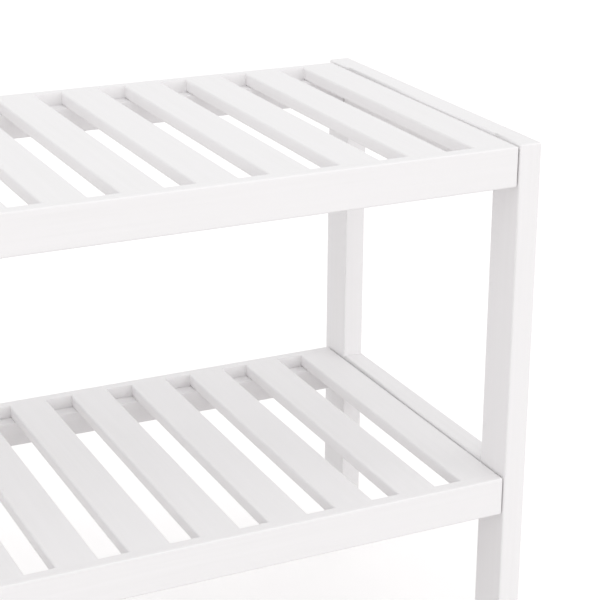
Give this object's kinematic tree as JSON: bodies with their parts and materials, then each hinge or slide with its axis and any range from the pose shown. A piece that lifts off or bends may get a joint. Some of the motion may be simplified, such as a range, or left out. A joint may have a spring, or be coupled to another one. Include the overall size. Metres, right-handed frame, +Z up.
{
  "type": "entryway bench",
  "caption": "Slatted entryway bench with a slatted shoe shelf below: open end frames of square-edged boards, long front and rear rails, and flat cross slats, all lacquered white.",
  "frame": {"origin": "on the floor, under the middle of the bench's overall box", "axes": "+X along the bench's length to the right as seen from the front, +Y from front to rear, +Z up"},
  "size_m": [0.795, 0.34, 0.5],
  "materials": {
    "white_lacquered_wood": "satin white lacquer over solid wood, fine grain hardly showing",
    "glide_plastic": "moulded, matt",
    "plated_steel": "zinc plated, satin"
  },
  "bodies": {
    "root": {"leg_front_left": "white_lacquered_wood", "foot_glide_front_left": "glide_plastic", "leg_rear_left": "white_lacquered_wood", "foot_glide_rear_left": "glide_plastic", "end_rail_upper_left": "white_lacquered_wood", "end_rail_lower_left": "white_lacquered_wood", "leg_front_right": "white_lacquered_wood", "foot_glide_front_right": "glide_plastic", "leg_rear_right": "white_lacquered_wood", "foot_glide_rear_right": "glide_plastic", "end_rail_upper_right": "white_lacquered_wood", "end_rail_lower_right": "white_lacquered_wood", "seat_rail_front": "white_lacquered_wood", "seat_bearer_front": "white_lacquered_wood", "seat_screw_front_left": "plated_steel", "seat_screw_front_right": "plated_steel", "seat_rail_rear": "white_lacquered_wood", "seat_bearer_rear": "white_lacquered_wood", "seat_screw_rear_left": "plated_steel", "seat_screw_rear_right": "plated_steel", "seat_slat_01": "white_lacquered_wood", "seat_slat_02": "white_lacquered_wood", "seat_slat_03": "white_lacquered_wood", "seat_slat_04": "white_lacquered_wood", "seat_slat_05": "white_lacquered_wood", "seat_slat_06": "white_lacquered_wood", "seat_slat_07": "white_lacquered_wood", "seat_slat_08": "white_lacquered_wood", "seat_slat_09": "white_lacquered_wood", "seat_slat_10": "white_lacquered_wood", "seat_slat_11": "white_lacquered_wood", "seat_slat_12": "white_lacquered_wood", "seat_slat_13": "white_lacquered_wood", "shelf_rail_front": "white_lacquered_wood", "shelf_bearer_front": "white_lacquered_wood", "shelf_screw_front_left": "plated_steel", "shelf_screw_front_right": "plated_steel", "shelf_rail_rear": "white_lacquered_wood", "shelf_bearer_rear": "white_lacquered_wood", "shelf_screw_rear_left": "plated_steel", "shelf_screw_rear_right": "plated_steel", "shelf_slat_01": "white_lacquered_wood", "shelf_slat_02": "white_lacquered_wood", "shelf_slat_03": "white_lacquered_wood", "shelf_slat_04": "white_lacquered_wood", "shelf_slat_05": "white_lacquered_wood", "shelf_slat_06": "white_lacquered_wood", "shelf_slat_07": "white_lacquered_wood", "shelf_slat_08": "white_lacquered_wood", "shelf_slat_09": "white_lacquered_wood", "shelf_slat_10": "white_lacquered_wood", "shelf_slat_11": "white_lacquered_wood", "shelf_slat_12": "white_lacquered_wood", "shelf_slat_13": "white_lacquered_wood"}
  },
  "joints": []
}
